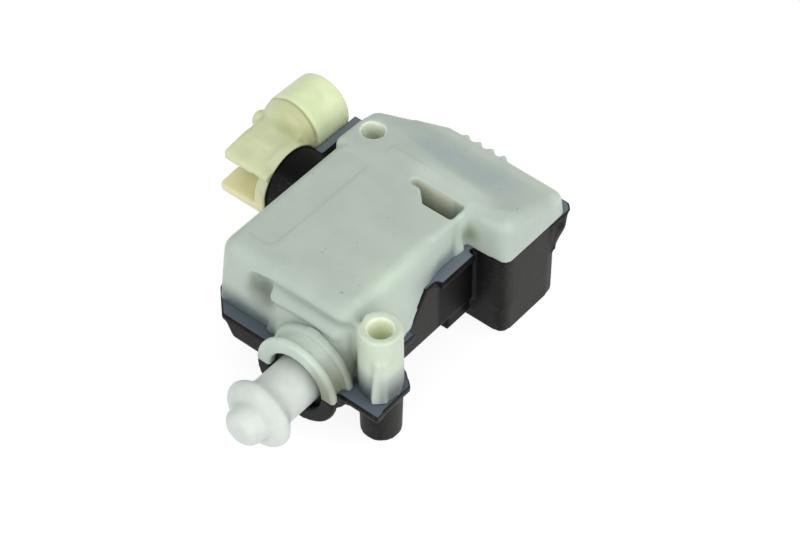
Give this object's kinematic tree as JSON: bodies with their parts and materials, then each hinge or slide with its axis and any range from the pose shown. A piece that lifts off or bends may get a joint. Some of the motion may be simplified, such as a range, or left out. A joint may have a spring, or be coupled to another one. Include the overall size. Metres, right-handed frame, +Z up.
{
  "type": "fuel filler flap actuator",
  "caption": "Fuel filler flap lock actuator: white mushroom-headed plunger, milky cover over a black lower housing, ivory release lever and two screw bores.",
  "frame": {"origin": "on the plunger's axis, at the front face of the collar's front flange", "axes": "+Z up along the screw bores, +Y from the plunger towards the motor bay, +X towards the front screw post; the plunger points to -Y"},
  "size_m": [0.0699, 0.0961, 0.0315],
  "materials": {
    "milky_cover": "semi-gloss translucent",
    "black_plastic": "satin",
    "white_plastic": "satin",
    "gear_white": "satin",
    "gear_black": "satin",
    "ivory_plastic": "satin",
    "soft_rubber": "matte",
    "shaft_steel": "ground",
    "zinc_steel": "zinc plated",
    "core_steel": "laminated",
    "magnet_grey": "sintered",
    "bronze": "sintered",
    "copper": "enamelled",
    "tin_brass": "tin plated"
  },
  "bodies": {
    "housing": {"lower_housing": "black_plastic", "cover": "milky_cover", "plunger_wiper": "soft_rubber", "front_buffer": "soft_rubber", "rear_buffer": "soft_rubber", "thrust_washer": "shaft_steel", "shaft_seal": "soft_rubber", "shaft_bush": "gear_white", "idler_axle": "shaft_steel", "motor_can": "zinc_steel", "motor_magnets": "magnet_grey", "motor_end_cap": "black_plastic", "motor_front_bush": "bronze", "motor_rear_bush": "bronze", "motor_brushes": "copper", "motor_pad": "soft_rubber", "terminal_left": "tin_brass", "terminal_right": "tin_brass"},
    "rotor": {"rotor_shaft": "shaft_steel", "rotor_core": "core_steel", "rotor_windings": "copper", "commutator": "copper", "motor_pinion": "bronze"},
    "idler": {"idler_gear": "gear_white"},
    "output": {"output_shaft": "shaft_steel", "drive_pinion": "gear_black", "output_gear": "gear_white", "release_lever": "ivory_plastic", "lever_screw": "zinc_steel", "lever_washer": "zinc_steel"},
    "slider": {"plunger": "white_plastic"}
  },
  "joints": [
    {"name": "motor_spin", "type": "hinge", "parent": "housing", "child": "rotor", "pos_m": [0, 0.058, 0.0016], "axis": [1, 0, 0], "range_deg": [-1.5, 708.8]},
    {"name": "idler_spin", "type": "hinge", "parent": "housing", "child": "idler", "pos_m": [-0.014, 0.05124, -0.00388], "axis": [1, 0, 0], "range_deg": [-318.98, 0.7]},
    {"name": "output_turn", "type": "hinge", "parent": "housing", "child": "output", "pos_m": [0, 0.0397, 0.0034], "axis": [1, 0, 0], "range_deg": [-0.2, 95.69]},
    {"name": "plunger_slide", "type": "slide", "parent": "housing", "child": "slider", "axis": [0, 1, 0], "range_m": [0, 0.0075]}
  ],
  "couplings": [
    {"joint": "output_turn", "follows": "plunger_slide", "rad_per_m": 222.22},
    {"joint": "idler_spin", "follows": "plunger_slide", "rad_per_m": -740.74},
    {"joint": "motor_spin", "follows": "plunger_slide", "rad_per_m": 1646.1}
  ]
}
